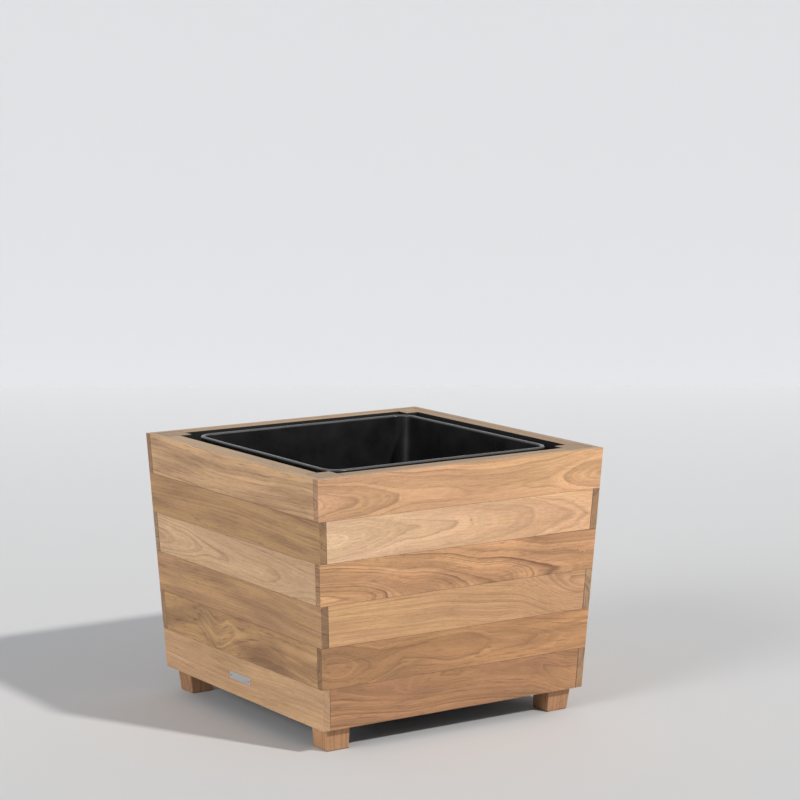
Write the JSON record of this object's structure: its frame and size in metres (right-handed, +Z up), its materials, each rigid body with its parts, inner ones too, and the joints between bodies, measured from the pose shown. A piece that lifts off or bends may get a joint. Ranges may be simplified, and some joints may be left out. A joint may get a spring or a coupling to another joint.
{
  "type": "planter box",
  "caption": "Tapered square hardwood planter box with lapped corner boards, corner posts that run on as feet, a slatted floor and a lift-out plastic liner.",
  "frame": {"origin": "on the ground under the middle of the box, midway between the four feet", "axes": "+Z up, -Y out of the front wall, -X out of the left wall, which carries the blank name plate"},
  "size_m": [0.61, 0.61, 0.49],
  "materials": {
    "teak": "sanded, unfinished, lightly weathered",
    "liner_plastic": "moulded black polyethylene, satin on the lip",
    "stainless_steel": "plain stainless",
    "plate_metal": "brushed, blank"
  },
  "bodies": {
    "planter_box": {"back_board_1": "teak", "back_board_2": "teak", "back_board_3": "teak", "back_board_4": "teak", "back_board_5": "teak", "back_board_6": "teak", "back_ledger": "teak", "back_left_post": "teak", "back_right_post": "teak", "back_top_rail": "teak", "floor_slat_1": "teak", "floor_slat_2": "teak", "floor_slat_3": "teak", "floor_slat_4": "teak", "floor_slat_5": "teak", "floor_slat_6": "teak", "front_board_1": "teak", "front_board_2": "teak", "front_board_3": "teak", "front_board_4": "teak", "front_board_5": "teak", "front_board_6": "teak", "front_ledger": "teak", "front_left_post": "teak", "front_right_post": "teak", "front_top_rail": "teak", "ledger_screws": "stainless_steel", "left_board_1": "teak", "left_board_2": "teak", "left_board_3": "teak", "left_board_4": "teak", "left_board_5": "teak", "left_board_6": "teak", "left_ledger": "teak", "left_top_rail": "teak", "name_plate": "plate_metal", "name_plate_pins": "stainless_steel", "post_screws": "stainless_steel", "right_board_1": "teak", "right_board_2": "teak", "right_board_3": "teak", "right_board_4": "teak", "right_board_5": "teak", "right_board_6": "teak", "right_ledger": "teak", "right_top_rail": "teak", "slat_screws": "stainless_steel", "top_rail_screws": "stainless_steel"},
    "liner": {"liner": "liner_plastic"}
  },
  "joints": [
    {"name": "liner_lift", "type": "slide", "parent": "planter_box", "child": "liner", "axis": [0, 0, 1], "range_m": [0, 0.45]}
  ]
}
